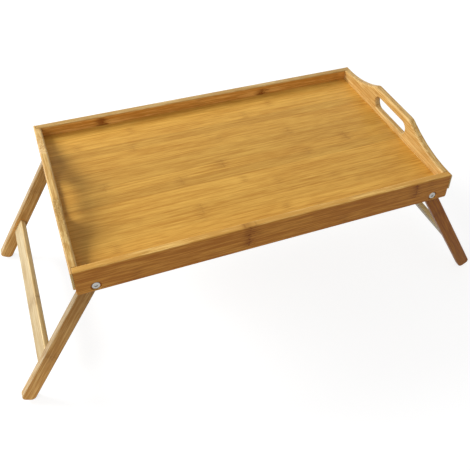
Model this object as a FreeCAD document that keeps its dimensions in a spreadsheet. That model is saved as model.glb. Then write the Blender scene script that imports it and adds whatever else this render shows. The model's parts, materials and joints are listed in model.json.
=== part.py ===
"""Bamboo bed tray table: a shallow tray with a hand slot in each end and two leg frames.

Millimetres. +X runs along the tray, +Y to the back, +Z up. The origin is on the floor,
under the middle of the tray. The legs stand open, each leaning on its end board.
"""
import FreeCAD, Part
import math
import os

import Sketcher

# Driving dimensions: alias, value in millimetres, what it is.
SIZES = (
    ("tray_length", 500, "tray, end to end over the ears"),
    ("tray_width", 300, "tray, front to back"),
    ("rail_height", 37, "long rails, top to bottom"),
    ("rail_thickness", 10, "long rails"),
    ("end_thickness", 10, "end boards"),
    ("ear_thickness", 2.5, "lip of an end board that laps over a rail's end"),
    ("ear_height", 23, "lip, down from the top of the rails"),
    ("rail_end_radius", 3, "lower corner of a rail's end"),
    ("edge_round", 2, "rounded top edges of rails and outer top edges of end boards"),
    ("grip_edge_round", 3, "rounded inner top edges of end boards"),
    ("lower_edge_round", 1, "eased lower edges of rails and ears"),
    ("recess_depth", 15, "panel's face, down from the top of the rails"),
    ("panel_thickness", 5, "panel"),
    ("tongue_shoulder", 1.5, "panel's face, above the tongue round its edge"),
    ("groove_depth", 3, "panel groove in rails and end boards"),
    ("groove_clearance", 0.1, "panel's tongue in its groove, all round"),
    ("handle_rise", 24, "handle's flat top, above the rails"),
    ("handle_flat", 88, "length of the handle's flat top"),
    ("handle_shoulder_radius", 12, "convex turn beside the flat top"),
    ("handle_ledge", 8, "level stretch from the foot of the handle to the board's corner"),
    ("slot_length", 84, "hand slot, end to end"),
    ("slot_height", 20, "hand slot, top to bottom"),
    ("grip_height", 12, "bar above the hand slot"),
    ("slot_edge_round", 2.5, "rounded edges of the hand slot"),
    ("leg_width", 18, "legs, across their length"),
    ("leg_thickness", 10, "legs, front to back"),
    ("leg_edge_round", 1.5, "eased edges of the legs"),
    ("pivot_inset", 25, "pivot, in from the tray's end"),
    ("head_clearance", 0.5, "leg's round top end to the panel above it"),
    ("foot_corner_radius", 6, "rounded corners of the feet"),
    ("folded_gap", 18.5, "between the feet of the two frames when folded flat"),
    ("stop_gap", 0.1, "open leg to the end board it leans on"),
    ("crossbar_rise", 64, "crossbar's middle, up the leg from the foot's end"),
    ("crossbar_height", 25, "crossbar, along the leg"),
    ("crossbar_thickness", 8, "crossbar, across the leg"),
    ("crossbar_round", 2, "crossbar's rounded long edges"),
    ("tenon_length", 6, "crossbar tenons"),
    ("tenon_shoulder", 1.5, "shoulder round a tenon"),
    ("tenon_clearance", 0.1, "tenon in its mortise, all round"),
    ("bolt_diameter", 5, "pivot bolts"),
    ("pivot_clearance", 0.05, "bolt in its holes, on the radius"),
    ("bolt_head_diameter", 10, "bolt heads"),
    ("bolt_head_height", 1.6, "bolt heads, with the crown"),
    ("bolt_head_crown", 0.5, "rise of a bolt head's crown"),
    ("bolt_socket_width", 4, "hexagon sockets in the bolt heads, across flats"),
    ("bolt_socket_depth", 1, "hexagon sockets in the bolt heads"),
    ("bolt_tail", 1.5, "bolt's end past its nut"),
    ("counterbore_diameter", 13, "counterbores for the bolt heads"),
    ("counterbore_depth", 2.5, "counterbores for the bolt heads"),
    ("washer_diameter", 12, "washers"),
    ("washer_thickness", 0.8, "washers"),
    ("washer_gap", 0.1, "leg to the washer on each side"),
    ("nut_width", 8, "nuts, across flats"),
    ("nut_height", 4, "nuts, hexagon only"),
    ("nut_collar_height", 1.2, "nuts, round collar past the hexagon"),
    ("nut_collar_diameter", 7, "nuts, round collar"),
)

doc = FreeCAD.newDocument("bed_tray_table")
sheet = doc.addObject("Spreadsheet::Sheet", "sizes")
for row, (alias, value, note) in enumerate(SIZES, start=1):
    sheet.set(f"A{row}", note)
    sheet.set(f"B{row}", str(value))
    sheet.setAlias(f"B{row}", alias)
doc.recompute()

# Places worked out from the driving dimensions, as expressions on the sheet.
HALF_LENGTH = "(sizes.tray_length / 2)"
HALF_WIDTH = "(sizes.tray_width / 2)"
RAIL_HALF_LENGTH = f"({HALF_LENGTH} - sizes.ear_thickness)"
RAIL_INNER_Y = f"({HALF_WIDTH} - sizes.rail_thickness)"
END_INNER_X = f"({HALF_LENGTH} - sizes.end_thickness)"
GROOVE_TOP = "(-sizes.recess_depth - sizes.tongue_shoulder + sizes.groove_clearance)"
GROOVE_BOTTOM = "(-sizes.recess_depth - sizes.panel_thickness - sizes.groove_clearance)"

# The concave sweep that meets the shoulder above it and the ledge at its foot.
HANDLE_FOOT = f"({HALF_WIDTH} - sizes.handle_ledge)"
HANDLE_SWEEP_RADIUS = (
    f"((({HANDLE_FOOT} - sizes.handle_flat / 2)^2 + sizes.handle_rise^2)"
    " / (2 * sizes.handle_rise) - sizes.handle_shoulder_radius)"
)

LEG_RADIUS = "(sizes.leg_width / 2)"
LEG_OUTER_Y = f"({RAIL_INNER_Y} - sizes.washer_thickness - sizes.washer_gap)"
LEG_INNER_Y = f"({LEG_OUTER_Y} - sizes.leg_thickness)"
PIVOT_X = f"({HALF_LENGTH} - sizes.pivot_inset)"
PIVOT_DEPTH = (
    f"(sizes.recess_depth + sizes.panel_thickness + {LEG_RADIUS} + sizes.head_clearance)"
)
LEG_REACH = f"({PIVOT_X} - sizes.folded_gap / 2)"
FOOT_ACROSS = f"({LEG_RADIUS} - sizes.foot_corner_radius)"
FOOT_DOWN = f"({LEG_REACH} - sizes.foot_corner_radius)"

# An open leg leans on the lower inner edge of its end board, which sets its angle.
STOP_X = "(sizes.pivot_inset - sizes.end_thickness)"
STOP_Z = f"(sizes.rail_height - {PIVOT_DEPTH})"
OPEN_ANGLE = (
    f"(acos(({LEG_RADIUS} + sizes.stop_gap) / hypot({STOP_X}; {STOP_Z}))"
    f" - atan({STOP_Z} / {STOP_X}))"
)

# An open leg stands on the lower of its foot's two rounded corners.
PIVOT_Z = (
    f"({FOOT_DOWN} * cos({OPEN_ANGLE}) + {FOOT_ACROSS} * sin({OPEN_ANGLE})"
    " + sizes.foot_corner_radius)"
)
RAIL_TOP = f"({PIVOT_Z} + {PIVOT_DEPTH})"
CROSSBAR_DROP = f"({LEG_REACH} - sizes.crossbar_rise)"

BOLT_RADIUS = "(sizes.bolt_diameter / 2)"
PIVOT_HOLE_RADIUS = f"({BOLT_RADIUS} + sizes.pivot_clearance)"
HEAD_SEAT_Y = f"({HALF_WIDTH} - sizes.counterbore_depth)"
NUT_WASHER_Y = f"({LEG_INNER_Y} - sizes.washer_gap)"
NUT_Y = f"({NUT_WASHER_Y} - sizes.washer_thickness)"
NUT_COLLAR_Y = f"({NUT_Y} - sizes.nut_height)"
NUT_END_Y = f"({NUT_COLLAR_Y} - sizes.nut_collar_height)"
BOLT_END_Y = f"({NUT_END_Y} - sizes.bolt_tail)"

TOLERANCE = 1e-4
nodes = []


def amount(expression):
    """The number that an expression on the sheet comes to, angles in degrees."""
    result = sheet.evalExpression(expression)
    return float(getattr(result, "Value", result))


# ---------------------------------------------------------------- bodies and sketches

def new_body(name, x="0", y="0", z="0", lean=0):
    """A body placed by the sheet; lean 1 or -1 turns it by the open angle about +Y or -Y."""
    body = doc.addObject("PartDesign::Body", name)
    body.Label = name
    body.AllowCompound = True
    body.setExpression(".Placement.Base.x", x)
    body.setExpression(".Placement.Base.y", y)
    body.setExpression(".Placement.Base.z", z)
    if lean:
        turn = FreeCAD.Rotation(FreeCAD.Vector(0, lean, 0), amount(OPEN_ANGLE))
        body.Placement = FreeCAD.Placement(FreeCAD.Vector(), turn)
        body.setExpression(".Placement.Rotation.Angle", OPEN_ANGLE)
    nodes.append(body)
    return body


def new_sketch(body, name, plane, offset=None):
    """A sketch on one of the body's own origin planes, moved along its normal by offset."""
    sketch = body.newObject("Sketcher::SketchObject", f"{body.Name}_{name}")
    support = [item for item in body.Origin.OriginFeatures if item.Role == plane][0]
    sketch.AttachmentSupport = [(support, "")]
    sketch.MapMode = "FlatFace"
    if offset:
        sketch.setExpression(".AttachmentOffset.Base.z", offset)
    return sketch


def bind(sketch, kind, *where):
    """A dimension whose value, the last item of where, is an expression on the sheet."""
    *target, expression = where
    index = sketch.addConstraint(Sketcher.Constraint(kind, *target, amount(expression)))
    sketch.setExpression(f"Constraints[{index}]", expression)


def place_point(sketch, geometry, end, x, y):
    """Hold one end or centre of a piece of geometry at x, y from the sketch's origin."""
    bind(sketch, "DistanceX", -1, 1, geometry, end, x)
    bind(sketch, "DistanceY", -1, 1, geometry, end, y)


def polygon(sketch, corners):
    """A closed outline of straight lines through corners given as expressions."""
    points = [FreeCAD.Vector(amount(x), amount(y), 0) for x, y in corners]
    first = sketch.GeometryCount
    for start, finish in zip(points, points[1:] + points[:1]):
        sketch.addGeometry(Part.LineSegment(start, finish), False)
    for index, (x, y) in enumerate(corners):
        before = first + (index - 1) % len(corners)
        sketch.addConstraint(Sketcher.Constraint("Coincident", before, 2, first + index, 1))
        place_point(sketch, first + index, 1, x, y)


def rectangle(sketch, x0, y0, x1, y1):
    """An upright rectangle between two corners."""
    polygon(sketch, ((x0, y0), (x1, y0), (x1, y1), (x0, y1)))


def circle(sketch, x, y, radius):
    """A circle about a centre."""
    centre = FreeCAD.Vector(amount(x), amount(y), 0)
    index = sketch.addGeometry(
        Part.Circle(centre, FreeCAD.Vector(0, 0, 1), amount(radius)), False
    )
    place_point(sketch, index, 3, x, y)
    bind(sketch, "Radius", index, radius)


def arc(sketch, centre, radius, start, finish):
    """An anticlockwise arc between two angles in degrees; returns its index."""
    ring = Part.Circle(FreeCAD.Vector(*centre, 0), FreeCAD.Vector(0, 0, 1), radius)
    turn = Part.ArcOfCircle(ring, math.radians(start), math.radians(finish))
    return sketch.addGeometry(turn, False)


def line(sketch, start, finish):
    """A straight line between two points; returns its index."""
    segment = Part.LineSegment(FreeCAD.Vector(*start, 0), FreeCAD.Vector(*finish, 0))
    return sketch.addGeometry(segment, False)


def run_on(sketch, *pairs):
    """Make pieces of geometry run smoothly on: first, its end, second, its end."""
    for pair in pairs:
        sketch.addConstraint(Sketcher.Constraint("Tangent", *pair))


def level_slot(sketch, half, y, radius):
    """A level slot with full-round ends, whose centres are half either side of the middle."""
    across, height, size = amount(half), amount(y), amount(radius)
    left = arc(sketch, (-across, height), size, 90, 270)
    base = line(sketch, (-across, height - size), (across, height - size))
    right = arc(sketch, (across, height), size, -90, 90)
    top = line(sketch, (across, height + size), (-across, height + size))
    run_on(sketch, (left, 2, base, 1), (base, 2, right, 1), (right, 2, top, 1),
           (top, 2, left, 1))
    place_point(sketch, left, 3, f"-{half}", y)
    place_point(sketch, right, 3, half, y)
    bind(sketch, "Radius", left, radius)
    bind(sketch, "Radius", right, radius)


def hexagon(sketch, width):
    """A hexagon about the front left pivot, one corner towards +X, width across its flats."""
    corner = f"({width} / 2 / cos(30))"
    polygon(sketch, [
        (f"-{PIVOT_X} + {corner} * cos({60 * step})", f"{corner} * sin({60 * step})")
        for step in range(6)
    ])


# ---------------------------------------------------------------- solid features

def pad(body, sketch, length, name, reverse=False, middle=False):
    """Raise a sketch into the solid; length is an expression."""
    feature = body.newObject("PartDesign::Pad", f"{body.Name}_{name}")
    feature.Profile = sketch
    feature.setExpression("Length", length)
    feature.Reversed = reverse
    feature.Midplane = middle
    doc.recompute()
    return feature


def pocket(body, sketch, depth, name, reverse=False, middle=False):
    """Cut a sketch out of the solid and make sure that it did cut."""
    before = body.Tip.Shape.Volume
    feature = body.newObject("PartDesign::Pocket", f"{body.Name}_{name}")
    feature.Profile = sketch
    feature.setExpression("Length", depth)
    feature.Reversed = reverse
    feature.Midplane = middle
    doc.recompute()
    if not feature.Shape.Volume < before - TOLERANCE:
        raise RuntimeError(f"{feature.Name} cuts nothing")
    return feature


def lies_at(edge, **planes):
    """Whether an edge lies in the planes x, y or z that are given as numbers."""
    box = edge.BoundBox
    spans = {"x": (box.XMin, box.XMax), "y": (box.YMin, box.YMax), "z": (box.ZMin, box.ZMax)}
    return all(
        abs(low - value) < TOLERANCE and abs(high - value) < TOLERANCE
        for axis, value in planes.items()
        for low, high in (spans[axis],)
    )


def fillet(body, radius, name, chosen):
    """Round the edges of the body's last feature for which chosen says yes."""
    base = body.Tip
    names = [
        f"Edge{index}" for index, edge in enumerate(base.Shape.Edges, start=1) if chosen(edge)
    ]
    if not names:
        raise RuntimeError(f"{body.Name}_{name} finds no edge to round")
    feature = body.newObject("PartDesign::Fillet", f"{body.Name}_{name}")
    feature.Base = (base, names)
    feature.setExpression("Radius", radius)
    doc.recompute()
    return feature


# ---------------------------------------------------------------- the tray

def make_panel():
    """The floor of the tray; a tongue round it, flush with its underside, is let into grooves."""
    body = new_body("tray_panel", z=f"{RAIL_TOP} - sizes.recess_depth")
    tongue = "(sizes.groove_depth - sizes.groove_clearance)"
    half_x = f"({END_INNER_X} + {tongue})"
    half_y = f"({RAIL_INNER_Y} + {tongue})"
    outline = new_sketch(body, "outline", "XY_Plane")
    rectangle(outline, f"-{half_x}", f"-{half_y}", half_x, half_y)
    pad(body, outline, "sizes.panel_thickness", "board", reverse=True)

    rebate = new_sketch(body, "rebate", "XY_Plane")
    face_x = f"({END_INNER_X} - sizes.groove_clearance)"
    face_y = f"({RAIL_INNER_Y} - sizes.groove_clearance)"
    rectangle(rebate, f"-{face_x}", f"-{face_y}", face_x, face_y)
    beyond_x = f"({half_x} + sizes.groove_clearance)"
    beyond_y = f"({half_y} + sizes.groove_clearance)"
    rectangle(rebate, f"-{beyond_x}", f"-{beyond_y}", beyond_x, beyond_y)
    pocket(body, rebate, "sizes.tongue_shoulder", "tongue_rebate")


def make_rail(name, front):
    """A long rail: its outer face is the body's XZ plane and its top edge is at z 0."""
    body = new_body(name, y=f"{'-' if front else ''}{HALF_WIDTH}", z=RAIL_TOP)

    outline = new_sketch(body, "outline", "XZ_Plane")
    rectangle(outline, f"-{RAIL_HALF_LENGTH}", "-sizes.rail_height", RAIL_HALF_LENGTH, "0")
    pad(body, outline, "sizes.rail_thickness", "board", reverse=front)

    bottom = -amount("sizes.rail_height")
    half_length = amount(RAIL_HALF_LENGTH)
    fillet(body, "sizes.rail_end_radius", "end_corners",
           lambda edge: lies_at(edge, z=bottom) and edge.BoundBox.XLength < TOLERANCE)
    fillet(body, "sizes.edge_round", "top_edges",
           lambda edge: lies_at(edge, z=0) and edge.BoundBox.XLength > half_length)
    fillet(body, "sizes.lower_edge_round", "bottom_edges",
           lambda edge: lies_at(edge, z=bottom) and edge.BoundBox.XLength > half_length)

    groove = new_sketch(body, "groove", "YZ_Plane")
    deep = "(sizes.rail_thickness - sizes.groove_depth)"
    sign = "" if front else "-"
    rectangle(
        groove, f"{sign}{deep}", GROOVE_BOTTOM,
        f"{sign}(sizes.rail_thickness + sizes.edge_round)", GROOVE_TOP,
    )
    pocket(body, groove, f"2 * {HALF_LENGTH}", "panel_groove", middle=True)

    bores = new_sketch(body, "bores", "XZ_Plane")
    for pivot in (f"-{PIVOT_X}", PIVOT_X):
        circle(bores, pivot, f"-{PIVOT_DEPTH}", PIVOT_HOLE_RADIUS)
    pocket(body, bores, "sizes.rail_thickness", "bolt_holes", reverse=not front)

    sinks = new_sketch(body, "sinks", "XZ_Plane")
    for pivot in (f"-{PIVOT_X}", PIVOT_X):
        circle(sinks, pivot, f"-{PIVOT_DEPTH}", "sizes.counterbore_diameter / 2")
    pocket(body, sinks, "sizes.counterbore_depth", "counterbores", reverse=not front)


def end_outline(sketch):
    """An end board's outline, front to back along x and up along y of the sketch."""
    flat = amount("sizes.handle_flat / 2")
    rise = amount("sizes.handle_rise")
    shoulder = amount("sizes.handle_shoulder_radius")
    sweep = amount(HANDLE_SWEEP_RADIUS)
    foot = amount(HANDLE_FOOT)
    width = amount(HALF_WIDTH)
    neck = amount(RAIL_INNER_Y)
    ear = amount("sizes.ear_height")
    bottom = amount("sizes.rail_height")
    lean = math.degrees(math.atan2(sweep + shoulder - rise, foot - flat))

    geometry = [
        line(sketch, (width, 0), (foot, 0)),
        arc(sketch, (foot, sweep), sweep, 180 + lean, 270),
        arc(sketch, (flat, rise - shoulder), shoulder, lean, 90),
        line(sketch, (flat, rise), (-flat, rise)),
        arc(sketch, (-flat, rise - shoulder), shoulder, 90, 180 - lean),
        arc(sketch, (-foot, sweep), sweep, 270, 360 - lean),
        line(sketch, (-foot, 0), (-width, 0)),
        line(sketch, (-width, 0), (-width, -ear)),
        line(sketch, (-width, -ear), (-neck, -ear)),
        line(sketch, (-neck, -ear), (-neck, -bottom)),
        line(sketch, (-neck, -bottom), (neck, -bottom)),
        line(sketch, (neck, -bottom), (neck, -ear)),
        line(sketch, (neck, -ear), (width, -ear)),
        line(sketch, (width, -ear), (width, 0)),
    ]
    (back_ledge, back_sweep, back_shoulder, top, front_shoulder, front_sweep, front_ledge,
     front_edge, front_ear, front_neck, base, back_neck, back_ear, back_edge) = geometry

    run_on(
        sketch, (back_ledge, 2, back_sweep, 2), (back_sweep, 1, back_shoulder, 1),
        (back_shoulder, 2, top, 1), (top, 2, front_shoulder, 1),
        (front_shoulder, 2, front_sweep, 2), (front_sweep, 1, front_ledge, 1),
    )
    straight = (front_ledge, front_edge, front_ear, front_neck, base, back_neck, back_ear,
                back_edge, back_ledge)
    for first, second in zip(straight, straight[1:]):
        sketch.addConstraint(Sketcher.Constraint("Coincident", first, 2, second, 1))

    bind(sketch, "Radius", back_sweep, HANDLE_SWEEP_RADIUS)
    bind(sketch, "Radius", front_sweep, HANDLE_SWEEP_RADIUS)
    bind(sketch, "Radius", back_shoulder, "sizes.handle_shoulder_radius")
    bind(sketch, "Radius", front_shoulder, "sizes.handle_shoulder_radius")
    place_point(sketch, top, 1, "sizes.handle_flat / 2", "sizes.handle_rise")
    place_point(sketch, top, 2, "-sizes.handle_flat / 2", "sizes.handle_rise")
    for edge, x, y in (
        (front_edge, f"-{HALF_WIDTH}", "0"),
        (front_ear, f"-{HALF_WIDTH}", "-sizes.ear_height"),
        (front_neck, f"-{RAIL_INNER_Y}", "-sizes.ear_height"),
        (base, f"-{RAIL_INNER_Y}", "-sizes.rail_height"),
        (back_neck, RAIL_INNER_Y, "-sizes.rail_height"),
        (back_ear, RAIL_INNER_Y, "-sizes.ear_height"),
        (back_edge, HALF_WIDTH, "-sizes.ear_height"),
        (back_ledge, HALF_WIDTH, "0"),
    ):
        place_point(sketch, edge, 1, x, y)


def make_end_board(name, left):
    """An end board: its outer face is the body's YZ plane, the rails' tops are at z 0."""
    body = new_body(name, x=f"{'-' if left else ''}{HALF_LENGTH}", z=RAIL_TOP)
    inward = 1 if left else -1
    sign = "" if left else "-"

    outline = new_sketch(body, "outline", "YZ_Plane")
    end_outline(outline)
    pad(body, outline, "sizes.end_thickness", "board", reverse=not left)

    inner_face = inward * amount("sizes.end_thickness")

    fillet(body, "sizes.edge_round", "outer_top_edges",
           lambda edge: lies_at(edge, x=0) and edge.BoundBox.Center.z > -TOLERANCE)
    fillet(body, "sizes.grip_edge_round", "inner_top_edges",
           lambda edge: lies_at(edge, x=inner_face) and edge.BoundBox.Center.z > -TOLERANCE)
    fillet(body, "sizes.lower_edge_round", "outer_edges",
           lambda edge: lies_at(edge, x=0) and edge.BoundBox.Center.z < -TOLERANCE)

    slot = new_sketch(body, "slot", "YZ_Plane")
    slot_radius = "(sizes.slot_height / 2)"
    half = f"(sizes.slot_length / 2 - {slot_radius})"
    middle = f"(sizes.handle_rise - sizes.grip_height - {slot_radius})"
    level_slot(slot, half, middle, slot_radius)
    pocket(body, slot, "sizes.end_thickness", "hand_slot", reverse=left)
    reach = amount("sizes.slot_length / 2") + TOLERANCE
    slot_top = amount("sizes.handle_rise - sizes.grip_height") + TOLERANCE
    slot_bottom = slot_top - amount("sizes.slot_height") - 2 * TOLERANCE

    def is_slot_edge(edge):
        box = edge.BoundBox
        on_a_face = lies_at(edge, x=0) or lies_at(edge, x=inner_face)
        return (on_a_face and box.YMin > -reach and box.YMax < reach
                and box.ZMin > slot_bottom and box.ZMax < slot_top)

    fillet(body, "sizes.slot_edge_round", "slot_edges", is_slot_edge)

    inner_plane = f"{sign}sizes.end_thickness"
    rebates = new_sketch(body, "rebates", "YZ_Plane", inner_plane)
    beyond = f"({HALF_WIDTH} + sizes.edge_round)"
    above = "sizes.edge_round"
    below = "-sizes.ear_height - sizes.edge_round"
    rectangle(rebates, RAIL_INNER_Y, below, beyond, above)
    rectangle(rebates, f"-{beyond}", below, f"-{RAIL_INNER_Y}", above)
    pocket(body, rebates, "sizes.end_thickness - sizes.ear_thickness", "rail_rebates",
           reverse=not left)

    groove = new_sketch(body, "groove", "YZ_Plane", inner_plane)
    rectangle(groove, f"-{RAIL_INNER_Y} - sizes.edge_round", GROOVE_BOTTOM,
              f"{RAIL_INNER_Y} + sizes.edge_round", GROOVE_TOP)
    pocket(body, groove, "sizes.groove_depth", "panel_groove", reverse=not left)


# ---------------------------------------------------------------- the leg frames

def leg_outline(sketch):
    """A leg pointing down: full-round about its pivot, with a corner-rounded foot."""
    side = amount(LEG_RADIUS)
    corner = amount("sizes.foot_corner_radius")
    across = amount(FOOT_ACROSS)
    down = amount(FOOT_DOWN)
    end = amount(LEG_REACH)
    head = arc(sketch, (0, 0), side, 0, 180)
    left = line(sketch, (-side, 0), (-side, -down))
    left_corner = arc(sketch, (-across, -down), corner, 180, 270)
    foot = line(sketch, (-across, -end), (across, -end))
    right_corner = arc(sketch, (across, -down), corner, 270, 360)
    right = line(sketch, (side, -down), (side, 0))
    run_on(sketch, (head, 2, left, 1), (left, 2, left_corner, 1), (left_corner, 2, foot, 1),
           (foot, 2, right_corner, 1), (right_corner, 2, right, 1), (right, 2, head, 1))
    place_point(sketch, head, 3, "0", "0")
    bind(sketch, "Radius", head, LEG_RADIUS)
    for turn, x in ((left_corner, f"-{FOOT_ACROSS}"), (right_corner, FOOT_ACROSS)):
        place_point(sketch, turn, 3, x, f"-{FOOT_DOWN}")
        bind(sketch, "Radius", turn, "sizes.foot_corner_radius")


def make_leg(name, left, front):
    """A leg whose pivot is the body's origin, bored for its bolt and mortised inside."""
    x = f"{'-' if left else ''}{PIVOT_X}"
    y = f"{'-' if front else ''}{LEG_OUTER_Y}"
    body = new_body(name, x, y, PIVOT_Z, lean=1 if left else -1)

    outline = new_sketch(body, "outline", "XZ_Plane")
    leg_outline(outline)
    pad(body, outline, "sizes.leg_thickness", "bar", reverse=front)
    fillet(body, "sizes.leg_edge_round", "edges",
           lambda edge: edge.BoundBox.YLength < TOLERANCE)

    bore = new_sketch(body, "bore", "XZ_Plane")
    circle(bore, "0", "0", PIVOT_HOLE_RADIUS)
    pocket(body, bore, "sizes.leg_thickness", "pivot_hole", reverse=not front)

    inner = "-sizes.leg_thickness" if front else "sizes.leg_thickness"
    mortise = new_sketch(body, "mortise", "XZ_Plane", inner)
    half_x = "(sizes.crossbar_thickness / 2 - sizes.tenon_shoulder + sizes.tenon_clearance)"
    half_z = "(sizes.crossbar_height / 2 - sizes.tenon_shoulder + sizes.tenon_clearance)"
    rectangle(mortise, f"-{half_x}", f"-{CROSSBAR_DROP} - {half_z}",
              half_x, f"-{CROSSBAR_DROP} + {half_z}")
    pocket(body, mortise, "sizes.tenon_length + sizes.tenon_clearance", "mortise",
           reverse=front)


def make_crossbar(name, left):
    """A flat bar between two legs, with a shouldered tenon at each end."""
    x = f"{'-' if left else ''}{PIVOT_X}"
    body = new_body(name, x, "0", PIVOT_Z, lean=1 if left else -1)

    section = new_sketch(body, "section", "XZ_Plane")
    half_x = "(sizes.crossbar_thickness / 2)"
    half_z = "(sizes.crossbar_height / 2)"
    rectangle(section, f"-{half_x}", f"-{CROSSBAR_DROP} - {half_z}",
              half_x, f"-{CROSSBAR_DROP} + {half_z}")
    pad(body, section, f"2 * {LEG_INNER_Y}", "bar", middle=True)
    length = amount(LEG_INNER_Y)
    fillet(body, "sizes.crossbar_round", "long_edges",
           lambda edge: edge.BoundBox.YLength > length)

    tenons = new_sketch(body, "tenons", "XZ_Plane")
    slim_x = f"({half_x} - sizes.tenon_shoulder)"
    slim_z = f"({half_z} - sizes.tenon_shoulder)"
    rectangle(tenons, f"-{slim_x}", f"-{CROSSBAR_DROP} - {slim_z}",
              slim_x, f"-{CROSSBAR_DROP} + {slim_z}")
    pad(body, tenons, f"2 * ({LEG_INNER_Y} + sizes.tenon_length)", "tenon_pair", middle=True)


# ---------------------------------------------------------------- the pivot hardware

def repeat_at_pivots(body, features):
    """Copy what is made at the front left pivot to the other three."""
    planes = {item.Role: item for item in body.Origin.OriginFeatures}
    pattern = body.newObject("PartDesign::MultiTransform", f"{body.Name}_at_pivots")
    mirrors = []
    for role in ("YZ_Plane", "XZ_Plane"):
        mirror = body.newObject("PartDesign::Mirrored", f"{body.Name}_{role}")
        mirror.MirrorPlane = (planes[role], [""])
        mirrors.append(mirror)
    pattern.Originals = features
    pattern.Transformations = mirrors
    body.Tip = pattern
    doc.recompute()


def turned_profile(body, corners):
    """Revolve an outline about the front left pivot's axis; x is the radius, y the place."""
    sketch = new_sketch(body, "profile", "XY_Plane")
    polygon(sketch, [(f"-{PIVOT_X} + {radius}", f"-{y}") for radius, y in corners])
    axis = sketch.addGeometry(
        Part.LineSegment(
            FreeCAD.Vector(-amount(PIVOT_X), -amount(HALF_WIDTH), 0),
            FreeCAD.Vector(-amount(PIVOT_X), 0, 0),
        ), True,
    )
    place_point(sketch, axis, 1, f"-{PIVOT_X}", f"-{HALF_WIDTH}")
    place_point(sketch, axis, 2, f"-{PIVOT_X}", "0")
    feature = body.newObject("PartDesign::Revolution", f"{body.Name}_turned")
    feature.Profile = sketch
    feature.ReferenceAxis = (sketch, ["Axis0"])
    feature.Angle = 360
    doc.recompute()
    return feature


def make_bolts():
    """Round-headed socket bolts, their heads sunk in the rails' counterbores."""
    body = new_body("pivot_bolts", z=PIVOT_Z)
    head = "sizes.bolt_head_diameter / 2"
    rim = f"({HEAD_SEAT_Y} + sizes.bolt_head_height - sizes.bolt_head_crown)"
    crown = f"({HEAD_SEAT_Y} + sizes.bolt_head_height)"
    crown_radius = "(sizes.bolt_head_diameter / 2 - 2 * sizes.bolt_head_crown)"
    bolt = turned_profile(body, (
        ("0", BOLT_END_Y), (BOLT_RADIUS, BOLT_END_Y), (BOLT_RADIUS, HEAD_SEAT_Y),
        (head, HEAD_SEAT_Y), (head, rim), (crown_radius, crown), ("0", crown),
    ))
    sketch = new_sketch(body, "hexagon", "XZ_Plane", crown)
    hexagon(sketch, "sizes.bolt_socket_width")
    socket = pocket(body, sketch, "sizes.bolt_socket_depth", "socket")
    repeat_at_pivots(body, [bolt, socket])


def make_washers(name, face_y):
    """A washer at each pivot, from face_y inward."""
    body = new_body(name, z=PIVOT_Z)
    inner_y = f"({face_y} - sizes.washer_thickness)"
    rim = "sizes.washer_diameter / 2"
    feature = turned_profile(body, (
        (PIVOT_HOLE_RADIUS, inner_y), (rim, inner_y), (rim, face_y), (PIVOT_HOLE_RADIUS, face_y),
    ))
    repeat_at_pivots(body, [feature])


def make_nuts():
    """Hexagon nuts with a round locking collar, at the inner ends of the bolts."""
    body = new_body("lock_nuts", z=PIVOT_Z)
    collar = turned_profile(body, (
        (PIVOT_HOLE_RADIUS, NUT_COLLAR_Y), ("sizes.nut_collar_diameter / 2", NUT_COLLAR_Y),
        ("sizes.nut_collar_diameter / 2", NUT_END_Y), (PIVOT_HOLE_RADIUS, NUT_END_Y),
    ))
    sketch = new_sketch(body, "hexagon", "XZ_Plane", NUT_Y)
    hexagon(sketch, "sizes.nut_width")
    circle(sketch, f"-{PIVOT_X}", "0", PIVOT_HOLE_RADIUS)
    flats = pad(body, sketch, "sizes.nut_height", "hexagon_pad", reverse=True)
    repeat_at_pivots(body, [collar, flats])


make_panel()
make_rail("front_rail", front=True)
make_rail("rear_rail", front=False)
make_end_board("left_end_board", left=True)
make_end_board("right_end_board", left=False)
for side in ("left", "right"):
    for row in ("front", "rear"):
        make_leg(f"{side}_{row}_leg", left=side == "left", front=row == "front")
    make_crossbar(f"{side}_crossbar", left=side == "left")
make_bolts()
make_washers("spacer_washers", RAIL_INNER_Y)
make_washers("nut_washers", NUT_WASHER_Y)
make_nuts()
doc.recompute()

for item in doc.Objects:
    if "Invalid" in item.State or "Error" in item.State:
        raise RuntimeError(f"{item.Name} did not compute: {item.State}")
os.makedirs("parts", exist_ok=True)
for body in nodes:
    if body.Shape.isNull() or not body.Shape.isValid():
        raise RuntimeError(f"{body.Label} has no sound solid")
    body.Shape.exportStep(f"parts/{body.Label}.step")
    print(body.Label, len(body.Shape.Solids), round(body.Shape.Volume))
print("open angle", amount(OPEN_ANGLE), "rail top", amount(RAIL_TOP))
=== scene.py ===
"""Looks of a folding bamboo bed tray table.

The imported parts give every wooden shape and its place, in metres: +X along the tray, +Y to
the back, +Z up from the floor. This script gives the boards their strip-laminated bamboo,
models the pivot bolts and lock nuts in full, and sets up the floor, the lamps and the camera.
"""
import json
import math

import bmesh
import bpy
from mathutils import Matrix, Vector


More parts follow.
